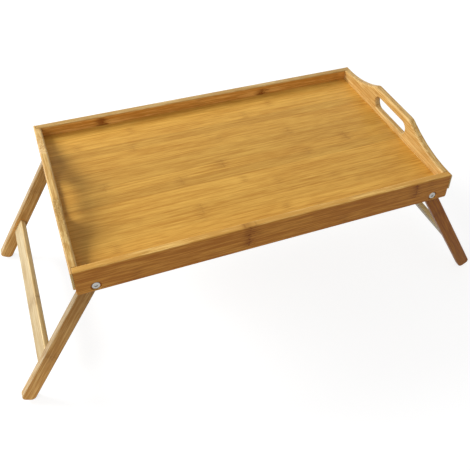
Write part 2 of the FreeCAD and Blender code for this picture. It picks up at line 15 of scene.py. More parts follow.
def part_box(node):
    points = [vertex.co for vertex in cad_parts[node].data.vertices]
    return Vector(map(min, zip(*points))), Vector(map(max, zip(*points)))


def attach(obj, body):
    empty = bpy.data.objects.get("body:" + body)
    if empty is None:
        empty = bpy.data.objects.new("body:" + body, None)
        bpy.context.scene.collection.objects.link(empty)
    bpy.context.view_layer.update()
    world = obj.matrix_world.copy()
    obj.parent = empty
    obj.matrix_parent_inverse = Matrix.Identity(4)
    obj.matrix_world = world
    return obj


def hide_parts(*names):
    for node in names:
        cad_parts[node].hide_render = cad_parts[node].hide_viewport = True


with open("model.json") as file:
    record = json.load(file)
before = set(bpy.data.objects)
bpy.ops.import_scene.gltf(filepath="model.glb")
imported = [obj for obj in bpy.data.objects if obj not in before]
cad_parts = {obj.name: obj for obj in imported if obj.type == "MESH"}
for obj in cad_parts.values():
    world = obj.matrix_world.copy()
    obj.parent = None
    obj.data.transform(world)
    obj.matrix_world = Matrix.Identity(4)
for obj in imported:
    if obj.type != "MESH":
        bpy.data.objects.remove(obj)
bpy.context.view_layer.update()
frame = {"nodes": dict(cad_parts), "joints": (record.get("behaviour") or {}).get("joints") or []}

bl_info = {
    "name": "Bamboo bed tray table",
    "version": (1, 0, 0),
    "blender": (4, 5, 0),
    "location": "3D View > Sidebar > Bed Tray",
    "description": "Finishes for a folding bamboo bed tray table, with its hardware and stage",
    "category": "Object",
}

MM = 0.001
SENSOR_WIDTH = 36.0  # of the camera, in millimetres
RAILS = ("front_rail", "rear_rail")
END_BOARDS = ("left_end_board", "right_end_board")
LEGS = ("left_front_leg", "left_rear_leg", "right_front_leg", "right_rear_leg")
CROSSBARS = ("left_crossbar", "right_crossbar")
WASHERS = ("spacer_washers", "nut_washers")

PIVOTS = {joint["child"]: Vector(joint["pos_m"]) for joint in frame["joints"]}
ALONG_TRAY = Vector((1, 0, 0))
ACROSS_TRAY = Vector((0, 1, 0))
UPRIGHT = Vector((0, 0, 1))

# How far from the tray's middle, to the front and back, the bolt heads and the nuts reach.
HEAD_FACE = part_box("pivot_bolts")[1].y
NUT_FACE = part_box("lock_nuts")[1].y

# Small shapes of the fasteners.
ROUND_SIDES = 64
HEXAGON_SIDES = 6
HEAD_ROUND = 0.9 * MM
THREAD_DEPTH = 0.6  # as a share of the pitch
NUT_CHAMFER = 0.6 * MM
NUT_TRIM = 0.99  # radius that is left of a nut's corners, as a share
CUTTER_PAST = 0.05 * MM
COLLAR_ROOT = 0.5 * MM  # how deep the collar stands in the hexagon
COLLAR_ROUND = 0.35 * MM
COLLAR_WALL = 0.45 * MM
RING_HEIGHT = 0.8 * MM
RING_SUNK = 0.1 * MM
RING_ROUND = 0.15 * MM
BORE_FIT = 1.01  # a nut's bore and, below, its ring's hole, as shares of the shank
RING_FIT = 0.95
HEXAGON_TURN = math.radians(30)  # half the angle between two corners
SMOOTH_BELOW = math.radians(32)  # flatter edges than this are shaded smooth
HAIR = 0.01 * MM  # points that are nearer than this count as one

# First number of the random figure of each kind of piece.
PANEL_SEED, RAIL_SEED, END_BOARD_SEED, LEG_SEED, CROSSBAR_SEED = 3, 11, 21, 31, 41

# Knuckles of the bamboo that stand out in a board: place along it, place across it (both
# from the board's middle), reach across and strength.
PANEL_KNUCKLES = (
    (-0.127, 0.072, 0.009, 0.40), (-0.008, 0.052, 0.009, 0.30), (0.094, 0.036, 0.009, 0.40),
    (0.168, -0.003, 0.010, 0.55), (-0.022, -0.004, 0.009, 0.55), (-0.182, 0.000, 0.009, 0.45),
    (-0.084, -0.020, 0.009, 0.45), (-0.076, -0.082, 0.009, 0.40), (0.101, -0.018, 0.008, 0.35),
)
BOARD_KNUCKLES = {
    "front_rail": ((0.197, 0.006, 0.011, 1.00), (-0.038, 0.004, 0.016, 1.10)),
    "rear_rail": ((-0.155, 0.009, 0.007, 2.40), (0.095, 0.006, 0.007, 2.40)),
    "left_end_board": ((0.062, -0.010, 0.010, 0.60),),
    "right_end_board": ((-0.020, -0.024, 0.010, 0.50),),
    "left_front_leg": ((0.030, 0.000, 0.010, 0.60),),
    "left_rear_leg": ((-0.020, 0.000, 0.010, 0.50),),
    "right_front_leg": ((-0.045, 0.000, 0.010, 0.60),),
    "right_rear_leg": ((0.015, 0.000, 0.010, 0.50),),
    "left_crossbar": ((-0.030, 0.000, 0.013, 0.55),),
    "right_crossbar": ((0.045, 0.000, 0.013, 0.55),),
}

# Painted light: how much paler a leg's wood is painted in 100 mm towards its foot, and darker up
# under the tray, standing in for the tray's shade and the light that the floor throws up.
LEG_PAINTED_BOUNCE = {
    "left_front_leg": 0.34, "left_rear_leg": 0.20, "right_front_leg": 0.0, "right_rear_leg": 0.10,
}


# ---------------------------------------------------------------- sizes and colours

class BambooSettings(bpy.types.PropertyGroup):
    """The strips and the colours of the bamboo."""
    panel_strip: bpy.props.FloatProperty(
        name="Panel strip", description="Width of a strip in the tray's floor",
        default=0.0175, unit="LENGTH")
    board_strip: bpy.props.FloatProperty(
        name="Board strip", description="Width of a strip in the rails and end boards",
        default=0.0185, unit="LENGTH")
    leg_strip: bpy.props.FloatProperty(
        name="Leg strip", description="Width of a strip in the legs and crossbars",
        default=0.0125, unit="LENGTH")
    panel_honey: bpy.props.FloatVectorProperty(
        name="Panel honey", description="Main colour of the tray's floor",
        subtype="COLOR", size=3, default=(0.735, 0.420, 0.080))
    # Painted shade: the front rail is a darker brown than the rear rail, for the shade on its
    # front face.
    front_rail_honey: bpy.props.FloatVectorProperty(
        name="Front rail honey", description="Main colour of the front rail, a brown one",
        subtype="COLOR", size=3, default=(0.720, 0.330, 0.057))
    rear_rail_honey: bpy.props.FloatVectorProperty(
        name="Rear rail honey", description="Main colour of the rear rail",
        subtype="COLOR", size=3, default=(0.840, 0.490, 0.135))
    end_honey: bpy.props.FloatVectorProperty(
        name="End honey", description="Main colour of the end boards",
        subtype="COLOR", size=3, default=(0.800, 0.570, 0.235))
    left_leg_honey: bpy.props.FloatVectorProperty(
        name="Left leg honey", description="Main colour of the legs at the left",
        subtype="COLOR", size=3, default=(0.848, 0.510, 0.174))
    # Painted shade: the right legs are a much darker brown than the left ones, for the shade they
    # stand in.
    right_leg_honey: bpy.props.FloatVectorProperty(
        name="Right leg honey", description="Main colour of the legs at the right, a brown one",
        subtype="COLOR", size=3, default=(0.500, 0.188, 0.008))
    # Painted highlight: the crossbars are paler and greyer than the other bamboo, partly their own
    # wood and partly for the strong light on them.
    bar_honey: bpy.props.FloatVectorProperty(
        name="Bar honey", description="Main colour of the crossbars, the palest",
        subtype="COLOR", size=3, default=(0.620, 0.505, 0.290))
    # Painted light: the two rails' tops take these paler colours of their own, for how the lamps
    # and their sheen fall on them.
    front_rail_side: bpy.props.FloatVectorProperty(
        name="Front rail side", description="Colour of the strips' sides, on the front rail's top",
        subtype="COLOR", size=3, default=(0.920, 0.625, 0.210))
    rear_rail_side: bpy.props.FloatVectorProperty(
        name="Rear rail side", description="Colour of the strips' sides, on the rear rail's top",
        subtype="COLOR", size=3, default=(0.750, 0.575, 0.280))
    # Painted light: the left legs' left- and right-facing faces take this duller colour, set for
    # how the lamps light them.
    leg_painted_side: bpy.props.FloatVectorProperty(
        name="Leg side", description="Colour of the strips' sides, along the left legs' edges",
        subtype="COLOR", size=3, default=(0.566, 0.450, 0.274))
    # Painted highlight: the crossbars' narrow edges take this pale colour, standing in for light
    # that the tray's shade keeps off them.
    bar_painted_edge: bpy.props.FloatVectorProperty(
        name="Bar side", description="Colour of the strips' sides, along the crossbars' edges",
        subtype="COLOR", size=3, default=(0.950, 0.800, 0.460))
    fibre: bpy.props.FloatVectorProperty(
        name="Fibre", description="Tint that the fibres and glue lines take from the wood",
        subtype="COLOR", size=3, default=(0.62, 0.47, 0.28))
    knuckle: bpy.props.FloatVectorProperty(
        name="Knuckle", description="Tint that the culm's knuckles take from the wood",
        subtype="COLOR", size=3, default=(0.40, 0.26, 0.15))
    sheen: bpy.props.FloatProperty(
        name="Sheen", description="Roughness of the satin lacquer",
        default=0.42, min=0.0, max=1.0, subtype="FACTOR")


class HardwareSettings(bpy.types.PropertyGroup):
    """The bolts and nuts that the legs turn on."""
    steel: bpy.props.FloatVectorProperty(
        name="Steel", description="Colour of the plating",
        subtype="COLOR", size=3, default=(0.46, 0.45, 0.42))
    nylon: bpy.props.FloatVectorProperty(
        name="Nylon", description="Colour of the locking ring in a nut",
        subtype="COLOR", size=3, default=(0.72, 0.74, 0.78))
    head_radius: bpy.props.FloatProperty(
        name="Head radius", description="Radius of a bolt's head",
        default=0.005, unit="LENGTH")
    head_height: bpy.props.FloatProperty(
        name="Head height", description="Height of a bolt's head with its crown",
        default=0.0016, unit="LENGTH")
    socket_width: bpy.props.FloatProperty(
        name="Socket width", description="Hexagon socket in a bolt's head, across flats",
        default=0.004, unit="LENGTH")
    socket_depth: bpy.props.FloatProperty(
        name="Socket depth", description="Depth of the hexagon socket",
        default=0.001, unit="LENGTH")
    shank_radius: bpy.props.FloatProperty(
        name="Shank radius", description="Radius of a bolt's shank and of its thread's crests",
        default=0.0025, unit="LENGTH")
    thread_pitch: bpy.props.FloatProperty(
        name="Thread pitch", description="Distance between two crests of the thread",
        default=0.0008, unit="LENGTH")
    thread_turns: bpy.props.IntProperty(
        name="Thread turns", description="Crests along the threaded end of a bolt",
        default=11, min=1)
    bolt_tail: bpy.props.FloatProperty(
        name="Bolt tail", description="A bolt's end past its nut",
        default=0.0015, unit="LENGTH")
    nut_width: bpy.props.FloatProperty(
        name="Nut width", description="A nut's width across flats",
        default=0.008, unit="LENGTH")
    nut_height: bpy.props.FloatProperty(
        name="Nut height", description="Height of a nut's hexagon",
        default=0.004, unit="LENGTH")
    collar_radius: bpy.props.FloatProperty(
        name="Collar radius", description="Radius of the collar that holds the locking ring",
        default=0.0035, unit="LENGTH")
    collar_height: bpy.props.FloatProperty(
        name="Collar height", description="Height of the collar past the hexagon",
        default=0.0012, unit="LENGTH")


class StageSettings(bpy.types.PropertyGroup):
    """Floor, lamps and camera."""
    camera_place: bpy.props.FloatVectorProperty(
        name="Camera place", description="Where the camera stands",
        subtype="TRANSLATION", size=3, default=(-0.25173, -0.67447, 0.75992))
    camera_turn: bpy.props.FloatVectorProperty(
        name="Camera turn", description="The camera's rotation about X, Y and Z",
        subtype="EULER", size=3,
        default=(math.radians(49.392), math.radians(-1.993), math.radians(-22.542)))
    lens: bpy.props.FloatProperty(
        name="Lens", description="Focal length in millimetres on a 36 mm sensor",
        default=50.32, min=1.0)
    shift: bpy.props.FloatVectorProperty(
        name="Shift", description="Sideways and upward shift of the frame",
        size=2, default=(-0.0737, -0.0924))
    key_lamp: bpy.props.FloatProperty(
        name="Key lamp", description="Power of the soft lamp at the left and behind, in watts",
        default=51.0, min=0.0)
    key_place: bpy.props.FloatVectorProperty(
        name="Key place", description="Where the key lamp hangs",
        subtype="TRANSLATION", size=3, default=(-1.70, 1.19, 1.40))
    fill_lamp: bpy.props.FloatProperty(
        name="Fill lamp", description="Power of the soft lamp at the left and in front, in watts",
        default=14.5, min=0.0)
    fill_place: bpy.props.FloatVectorProperty(
        name="Fill place", description="Where the fill lamp hangs",
        subtype="TRANSLATION", size=3, default=(-1.80, -1.04, 1.40))
    lamp_size: bpy.props.FloatProperty(
        name="Lamp size", description="Side of each square lamp",
        default=1.0, unit="LENGTH")
    lamp_aim: bpy.props.FloatVectorProperty(
        name="Lamp aim", description="What the lamps look at",
        subtype="TRANSLATION", size=3, default=(0.0, 0.0, 0.2))
    ambient: bpy.props.FloatProperty(
        name="Ambient", description="Brightness of the room's even light",
        default=0.43, min=0.0)
    floor_size: bpy.props.FloatProperty(
        name="Floor size", description="Side of the square floor",
        default=9.0, unit="LENGTH")
    floor_tone: bpy.props.FloatProperty(
        name="Floor tone", description="Share of the light that the floor throws back",
        default=0.32, min=0.0, max=1.0, subtype="FACTOR")
    floor_glow: bpy.props.FloatProperty(
        name="Floor glow", description="Brightness added where the floor itself is seen",
        default=0.80, min=0.0)


# ---------------------------------------------------------------- node trees

class Wiring:
    """Adds nodes to a tree and joins them; a plain number or colour is set on the socket."""

    def __init__(self, tree):
        self.tree = tree

    def join(self, value, socket):
        if isinstance(value, bpy.types.NodeSocket):
            self.tree.links.new(value, socket)
        elif value is not None:
            socket.default_value = value

    def node(self, kind, **settings):
        made = self.tree.nodes.new(kind)
        for name, value in settings.items():
            setattr(made, name, value)
        return made

    def math(self, operation, first, second=None, clamp=False):
        made = self.node("ShaderNodeMath", operation=operation, use_clamp=clamp)
        self.join(first, made.inputs[0])
        self.join(second, made.inputs[1])
        return made.outputs[0]

    def dot(self, first, second):
        made = self.node("ShaderNodeVectorMath", operation="DOT_PRODUCT")
        self.join(first, made.inputs[0])
        self.join(second, made.inputs[1])
        return made.outputs["Value"]

    def combine(self, x, y, z):
        made = self.node("ShaderNodeCombineXYZ")
        for value, socket in zip((x, y, z), made.inputs):
            self.join(value, socket)
        return made.outputs[0]

    def separate(self, vector):
        made = self.node("ShaderNodeSeparateXYZ")
        self.join(vector, made.inputs[0])
        return tuple(made.outputs)

    def noise(self, vector, detail=2.0):
        made = self.node("ShaderNodeTexNoise", noise_dimensions="3D")
        self.join(vector, made.inputs["Vector"])
        made.inputs["Scale"].default_value = 1.0
        made.inputs["Detail"].default_value = detail
        return made.outputs["Fac"]

    def fade(self, value, start, end, low=0.0, high=1.0):
        """A smooth step: low below start, high above end."""
        made = self.node("ShaderNodeMapRange", interpolation_type="SMOOTHSTEP")
        for item, socket in zip((value, start, end, low, high), made.inputs):
            self.join(item, socket)
        return made.outputs[0]

    def bell(self, distance, spread):
        """1 at no distance, falling to nothing a few spreads away."""
        ratio = self.math("DIVIDE", distance, spread)
        square = self.math("MULTIPLY", ratio, ratio)
        return self.math("EXPONENT", self.math("MULTIPLY", square, -1.0))

    def blend(self, factor, first, second, mode="MIX"):
        """Mix two colours; a mix node's colour sockets come after those for other kinds."""
        made = self.node("ShaderNodeMix", data_type="RGBA", blend_type=mode)
        self.join(factor, made.inputs["Factor"])
        self.join(first, made.inputs[6])
        self.join(second, made.inputs[7])
        return made.outputs[2]

    def tinted(self, colour, tint):
        """The colour times a tint."""
        return self.blend(1.0, colour, tint, "MULTIPLY")

    def speckle(self, scale, detail):
        """Fine spots all through the object; the scale is about their number in a metre."""
        source = self.node("ShaderNodeTexCoord").outputs["Object"]
        return self.noise(self.combine(*(
            self.math("MULTIPLY", item, scale) for item in self.separate(source)
        )), detail)


def new_group(name, inputs, outputs):
    """A shader node group with named sockets; returns its tree, inputs and output node."""
    tree = bpy.data.node_groups.new(name, "ShaderNodeTree")
    for label, kind, value in inputs:
        socket = tree.interface.new_socket(label, in_out="INPUT", socket_type=kind)
        socket.default_value = value
    for label, kind in outputs:
        tree.interface.new_socket(label, in_out="OUTPUT", socket_type=kind)
    entry = tree.nodes.new("NodeGroupInput")
    ending = tree.nodes.new("NodeGroupOutput")
    return tree, entry.outputs, ending.inputs


def knuckle_group():
    """One knuckle of a bamboo culm: a broken ring line, frayed dark fibres and a soft stain."""
    name = "Bamboo knuckle"
    if name in bpy.data.node_groups:
        return bpy.data.node_groups[name]
    tree, given, result = new_group(name, (
        ("Place", "NodeSocketVector", (0, 0, 0)),
        ("Along", "NodeSocketFloat", 0.0),
        ("Across", "NodeSocketFloat", 0.0),
        ("Reach", "NodeSocketFloat", 0.009),
        ("Strength", "NodeSocketFloat", 0.5),
    ), (("Mask", "NodeSocketFloat"),))
    wire = Wiring(tree)
    u, v, _ = wire.separate(given["Place"])
    along = wire.math("DIVIDE", wire.math("SUBTRACT", u, given["Along"]), MM)
    across = wire.math("DIVIDE", wire.math("SUBTRACT", v, given["Across"]), MM)

    def streaks(along_scale, across_scale, shift, detail):
        return wire.noise(wire.combine(
            wire.math("MULTIPLY", u, along_scale), wire.math("MULTIPLY", v, across_scale),
            shift), detail)

    # From here on, lengths are in millimetres.
    ragged = streaks(60.0, 300.0, 0.0, 3.0)
    threads = streaks(110.0, 900.0, 5.0, 2.0)
    wander, ring_width, frayed_width, stain_width = 14.0, 1.5, 8.0, 7.0
    distance = wire.math("ADD", along,
                         wire.math("MULTIPLY", wire.math("SUBTRACT", ragged, 0.5), wander))
    ring = wire.math("MULTIPLY", wire.bell(distance, ring_width), wire.fade(ragged, 0.38, 0.58))
    frayed = wire.math("MULTIPLY", wire.bell(distance, frayed_width),
                       wire.fade(threads, 0.48, 0.62))
    stain = wire.math("MULTIPLY", wire.bell(wire.math("ADD", distance, 3.0), stain_width), 0.35)
    marked = wire.math("MAXIMUM", wire.math("MULTIPLY", ring, 0.85),
                       wire.math("MAXIMUM", wire.math("MULTIPLY", frayed, 0.9), stain))

    # The mark ends softly, a millimetre inside and outside its reach across the board.
    reach = wire.math("DIVIDE", given["Reach"], MM)
    inside = wire.fade(wire.math("ABSOLUTE", across), wire.math("ADD", reach, 1.0),
                       wire.math("SUBTRACT", reach, 1.0))
    shown = wire.math("MULTIPLY", marked, inside)
    wire.join(wire.math("MULTIPLY", shown, given["Strength"], clamp=True), result["Mask"])
    return tree


def laminate_group():
    """Strips of bamboo glued side by side: fibres, tone of each strip, knuckles and end grain."""
    name = "Bamboo laminate"
    if name in bpy.data.node_groups:
        return bpy.data.node_groups[name]
    tree, given, result = new_group(name, (
        ("Place", "NodeSocketVector", (0, 0, 0)),
        ("Strip", "NodeSocketFloat", 0.018),
        ("Seed", "NodeSocketFloat", 0.0),
        ("Strip Contrast", "NodeSocketFloat", 1.0),
        ("Grain", "NodeSocketFloat", 1.0),
        ("Bleach", "NodeSocketFloat", 0.0),
        ("Knuckles", "NodeSocketFloat", 0.0),
        # Side picks the faces that look along the across direction; with Side Honey they take a
        # colour painted for how the lamps light them.
        ("Side", "NodeSocketFloat", 0.0),
        ("End Grain", "NodeSocketFloat", 0.0),
        ("Honey", "NodeSocketColor", (0.6, 0.35, 0.1, 1)),
        ("Side Honey", "NodeSocketColor", (0.7, 0.45, 0.12, 1)),
        ("Fibre", "NodeSocketColor", (0.6, 0.5, 0.3, 1)),
        ("Knuckle", "NodeSocketColor", (0.5, 0.3, 0.2, 1)),
        ("Sheen", "NodeSocketFloat", 0.42),
    ), (("Color", "NodeSocketColor"), ("Roughness", "NodeSocketFloat"),
        ("Height", "NodeSocketFloat")))
    wire = Wiring(tree)
    # Lengths are in millimetres from here on.
    u, v, w = (wire.math("DIVIDE", item, MM) for item in wire.separate(given["Place"]))
    strip = wire.math("DIVIDE", given["Strip"], MM)

    # Which strip this is, and three random numbers for it.
    lane_place = wire.math("DIVIDE", v, strip)
    lane = wire.math("FLOOR", lane_place)
    chance = wire.node("ShaderNodeTexWhiteNoise", noise_dimensions="2D")
    wire.join(wire.combine(wire.math("ADD", lane, 0.5), given["Seed"], 0.0),
              chance.inputs["Vector"])
    tone, start, spread = wire.separate(chance.outputs["Color"])

    # Fibres run along the strip, each strip with its own stretch of a long culm.
    culm_length = 900.0
    run = wire.math("ADD", u, wire.math("MULTIPLY", start, culm_length))

    def streaks(length, width, detail):
        return wire.noise(wire.combine(
            wire.math("DIVIDE", run, length), wire.math("DIVIDE", v, width),
            wire.math("DIVIDE", w, width)), detail)

    clouds = streaks(95.0, 14.0, 2.0)
    ribbons = streaks(150.0, 3.6, 2.0)
    bands = streaks(48.0, 1.8, 3.0)
    fibres = streaks(18.0, 0.9, 2.0)

    # Scattered knuckles, a hand's breadth or more apart in each strip.
    least_gap, extra_gap, wandering, knuckle_width, strongest = 215.0, 90.0, 16.0, 6.0, 0.30
    gap = wire.math("ADD", wire.math("MULTIPLY", spread, extra_gap), least_gap)
    cycle = wire.math("FRACT", wire.math("DIVIDE", run, gap))
    offset = wire.math("MULTIPLY", wire.math("SUBTRACT", cycle, 0.5), gap)
    wander = wire.math("MULTIPLY", wire.math("SUBTRACT", bands, 0.5), wandering)
    distance = wire.math("ADD", offset, wander)
    frayed = wire.math("MULTIPLY", wire.bell(distance, knuckle_width),
                       wire.fade(fibres, 0.40, 0.60, 0.3, 1.0))
    shown = wire.fade(tone, 0.25, 0.75, 0.0, strongest)
    knuckles = wire.math("MAXIMUM", wire.math("MULTIPLY", frayed, shown), given["Knuckles"])

    # Glue line between two strips.
    edge = wire.math("ABSOLUTE", wire.math("SUBTRACT", wire.math("FRACT", lane_place), 0.5))
    margin = wire.math("MULTIPLY", wire.math("SUBTRACT", 0.5, edge), strip)
    glue_outside, glue_inside = 0.45, 0.05
    glue = wire.fade(margin, glue_outside, glue_inside)

    # The wood's own colour, darkened by its fibres, its clouds, the glue lines and the knuckles.
    ribbon_share, band_share, fibre_share, cloud_share, glue_share = 0.22, 0.30, 0.26, 0.20, 0.25
    tone_range = 0.18
    fibrous = wire.math("ADD", wire.math("MULTIPLY", wire.fade(ribbons, 0.38, 0.62), ribbon_share),
                        wire.math("MULTIPLY", wire.fade(bands, 0.38, 0.62), band_share))
    fibrous = wire.math("ADD", fibrous,
                        wire.math("MULTIPLY", wire.fade(fibres, 0.40, 0.62), fibre_share))
    fibrous = wire.math("MULTIPLY", fibrous, given["Grain"])
    clouded = wire.math("MULTIPLY", wire.fade(clouds, 0.36, 0.64), cloud_share)
    glued = wire.math("MULTIPLY", glue, glue_share)
    darkness = wire.math("ADD", fibrous, wire.math("ADD", clouded, glued), clamp=True)
    swing = wire.math("MULTIPLY", wire.math("SUBTRACT", tone, 0.5), given["Strip Contrast"])
    shade = wire.math("ADD", 1.0, wire.math("MULTIPLY", swing, tone_range))
    # Painted light: along a leg the wood is painted darker under the tray and paler towards the
    # foot, for the tray's shade and the floor's thrown-up light.
    painted_bounce = wire.math("MULTIPLY", wire.math("DIVIDE", u, 100.0), given["Bleach"])
    shade = wire.math("MULTIPLY", shade, wire.math("ADD", 1.0, painted_bounce))
    # Painted light: faces picked by Side take Side Honey, a lit or shaded copy of the wood's
    # colour, in place of Honey.
    colour = wire.blend(given["Side"], given["Honey"], given["Side Honey"])
    colour = wire.tinted(colour, wire.combine(shade, shade, shade))
    colour = wire.blend(darkness, colour, wire.tinted(colour, given["Fibre"]))
    colour = wire.blend(knuckles, colour, wire.tinted(colour, given["Knuckle"]))

    # Cut ends show the fibre bundles as dots.
    bundles_per_mm, bundle_strength = 1.3, 0.70
    bundles = wire.node("ShaderNodeTexVoronoi", voronoi_dimensions="2D")
    wire.join(wire.combine(v, w, 0.0), bundles.inputs["Vector"])
    bundles.inputs["Scale"].default_value = bundles_per_mm
    dots = wire.fade(bundles.outputs["Distance"], 0.45, 0.20)
    sawn = wire.blend(wire.math("MULTIPLY", dots, bundle_strength), given["Honey"],
                      wire.tinted(given["Honey"], given["Knuckle"]))
    colour = wire.blend(given["End Grain"], colour, sawn)
    wire.join(colour, result["Color"])

    # The lacquer is rougher on end grain and on knuckles.
    rough = wire.math("ADD", given["Sheen"],
                      wire.math("MULTIPLY", wire.math("SUBTRACT", fibres, 0.5), 0.14))
    rough = wire.math("ADD", rough, wire.math("MULTIPLY", given["End Grain"], 0.15))
    wire.join(wire.math("ADD", rough, wire.math("MULTIPLY", knuckles, 0.08)),
              result["Roughness"])

    # Fibres stand a hair proud, and glue lines and knuckles lie low.
    height = wire.math("SUBTRACT", wire.math("MULTIPLY", fibres, 0.06),
                       wire.math("MULTIPLY", glue, 0.05))
    wire.join(wire.math("SUBTRACT", height, wire.math("MULTIPLY", knuckles, 0.03)),
              result["Height"])
    return tree


# ---------------------------------------------------------------- materials

def place_group(wire, tree, **values):
    """Put a node group into a tree with its inputs joined or set by name."""
    made = wire.node("ShaderNodeGroup", node_tree=tree)
    for label, value in values.items():
        wire.join(value, made.inputs[label.replace("_", " ")])
    return made.outputs


def new_material(name):
    """A material with its wiring and its shader."""
    material = bpy.data.materials.new(name)
    material.use_nodes = True
    tree = material.node_tree
    return material, Wiring(tree), tree.nodes["Principled BSDF"]


def add_bump(wire, shader, height, strength, distance):
    """Raise the surface by a height pattern."""
    bump = wire.node("ShaderNodeBump")
    bump.inputs["Strength"].default_value = strength
    bump.inputs["Distance"].default_value = distance
    wire.join(height, bump.inputs["Height"])
    wire.join(bump.outputs["Normal"], shader.inputs["Normal"])


def bamboo(name, honey, middle, along, across, strip, seed, contrast=1.0, grain=1.0,
           painted_side_colour=None, painted_bounce=0.0, knuckles=()):
    """Lacquered strip bamboo whose fibres run along one direction of the object's space."""
    look = bpy.context.scene.tray_bamboo
    material, wire, shader = new_material(name)
    source = wire.node("ShaderNodeTexCoord")
    place = wire.combine(*(
        wire.math("SUBTRACT", wire.dot(source.outputs["Object"], direction),
                  middle.dot(direction))
        for direction in (along, across, along.cross(across))
    ))
    marks = 0.0
    for where, sideways, reach, strength in knuckles:
        mark = place_group(wire, knuckle_group(), Place=place, Along=where, Across=sideways,
                           Reach=reach, Strength=strength)["Mask"]
        marks = mark if marks == 0.0 else wire.math("MAXIMUM", marks, mark)
    cut_end = wire.math("ABSOLUTE", wire.dot(source.outputs["Normal"], along))
    # Painted light: this picks the faces that look along the across direction, which take a colour
    # painted for how the lamps light them.
    side = wire.math("ABSOLUTE", wire.dot(source.outputs["Normal"], across))

    shown = place_group(
        wire, laminate_group(), Place=place, Strip=strip, Seed=float(seed),
        Strip_Contrast=contrast, Grain=grain, Bleach=painted_bounce, Knuckles=marks,
        Side=wire.fade(side, 0.25, 0.90), End_Grain=wire.fade(cut_end, 0.72, 0.92),
        Honey=(*honey, 1), Side_Honey=(*(painted_side_colour or honey), 1), Fibre=(*look.fibre, 1),
        Knuckle=(*look.knuckle, 1), Sheen=look.sheen,
    )
    wire.join(shown["Color"], shader.inputs["Base Color"])
    wire.join(shown["Roughness"], shader.inputs["Roughness"])
    shader.inputs["Specular IOR Level"].default_value = 0.20
    add_bump(wire, shader, shown["Height"], 0.6, MM)
    return material


def plated_steel(name):
    """Dull bright plating with a fine mottle."""
    look = bpy.context.scene.tray_hardware
    material, wire, shader = new_material(name)
    spots = wire.speckle(700.0, 3.0)
    colour = wire.blend(wire.fade(spots, 0.35, 0.70), (*look.steel, 1),
                        (*(0.86 * channel for channel in look.steel), 1))
    wire.join(colour, shader.inputs["Base Color"])
    wire.join(wire.fade(spots, 0.2, 0.8, 0.26, 0.42), shader.inputs["Roughness"])
    shader.inputs["Metallic"].default_value = 1.0
    add_bump(wire, shader, spots, 0.25, 0.1 * MM)
    return material


def nylon(name):
    """The pale ring that locks a nut."""
    look = bpy.context.scene.tray_hardware
    material, wire, shader = new_material(name)
    haze = wire.speckle(900.0, 2.0)
    wire.join(wire.blend(wire.fade(haze, 0.3, 0.7), (*look.nylon, 1),
                         (*(0.9 * channel for channel in look.nylon), 1)),
              shader.inputs["Base Color"])
    wire.join(wire.fade(haze, 0.3, 0.7, 0.45, 0.60), shader.inputs["Roughness"])
    return material


def dress(node, material):
    """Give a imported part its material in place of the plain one."""
    slots = frame["nodes"][node].data.materials
    slots.clear()
    slots.append(material)


def middle_of(node):
    """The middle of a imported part's box."""
    low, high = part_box(node)
    return (low + high) / 2


def leg_direction(leg):
    """From the pivot down the middle of an open leg, worked out from its box and its joint."""
    pivot = PIVOTS["left_leg_frame" if leg.startswith("left") else "right_leg_frame"]
    low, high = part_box(leg)
    radius = high.z - pivot.z
    foot_x = low.x + radius if leg.startswith("left") else high.x - radius
    return Vector((foot_x - pivot.x, 0, low.z + radius - pivot.z)).normalized()


# ---------------------------------------------------------------- modelling

def cylinder(sides, radius, low, high):
    """Add an upright cylinder or prism about the origin's axis, and open it for editing."""
    if bpy.context.mode != "OBJECT":
        bpy.ops.object.mode_set(mode="OBJECT")
    bpy.ops.object.select_all(action="DESELECT")
    bpy.ops.mesh.primitive_cylinder_add(
        vertices=sides, radius=radius, depth=high - low, location=(0, 0, (low + high) / 2),
        rotation=(0, 0, HEXAGON_TURN))
    made = bpy.context.object
    bpy.ops.object.transform_apply(location=True, rotation=True, scale=True)
    bpy.ops.object.mode_set(mode="EDIT")
    return made


def pick_underside():
    """In edit mode, select just the faces that look down."""
    bpy.ops.mesh.select_mode(type="FACE")
    bpy.ops.mesh.select_all(action="DESELECT")
    mesh = bpy.context.object.data
    shape = bmesh.from_edit_mesh(mesh)
    for face in shape.faces:
        face.select_set(face.normal.z < -0.99)
    bmesh.update_edit_mesh(mesh)


def pick_ring(height, radius):
    """In edit mode, select just the flat ring of edges at a height and radius."""
    bpy.ops.mesh.select_mode(type="EDGE")
    bpy.ops.mesh.select_all(action="DESELECT")
    mesh = bpy.context.object.data
    shape = bmesh.from_edit_mesh(mesh)
    for edge in shape.edges:
        edge.select_set(all(
            abs(end.co.z - height) < HAIR and abs(end.co.xy.length - radius) < HAIR
            for end in edge.verts))
    bmesh.update_edit_mesh(mesh)


def round_ring(height, radius, offset, segments, profile=0.5):
    """In edit mode, round or chamfer a flat ring of edges."""
    pick_ring(height, radius)
    bpy.ops.mesh.bevel(offset=offset, segments=segments, profile=profile, affect="EDGES")


def draw_out(distance, scale=1.0):
    """Extrude the picked face along the axis and change its width."""
    bpy.ops.mesh.extrude_region_move(TRANSFORM_OT_translate={"value": (0, 0, distance)})
    bpy.ops.transform.resize(value=(scale, scale, 1), center_override=(0, 0, 0))


def combine(piece, tool, operation):
    """Join, cut or overlap a piece with a tool, and throw the tool away."""
    bpy.ops.object.mode_set(mode="OBJECT")
    bpy.ops.object.select_all(action="DESELECT")
    bpy.context.view_layer.objects.active = piece
    piece.select_set(True)
    bpy.ops.object.modifier_add(type="BOOLEAN")
    modifier = piece.modifiers[-1]
    modifier.operation = operation
    modifier.solver = "EXACT"
    modifier.object = tool
    bpy.ops.object.modifier_apply(modifier=modifier.name)
    bpy.data.objects.remove(tool)


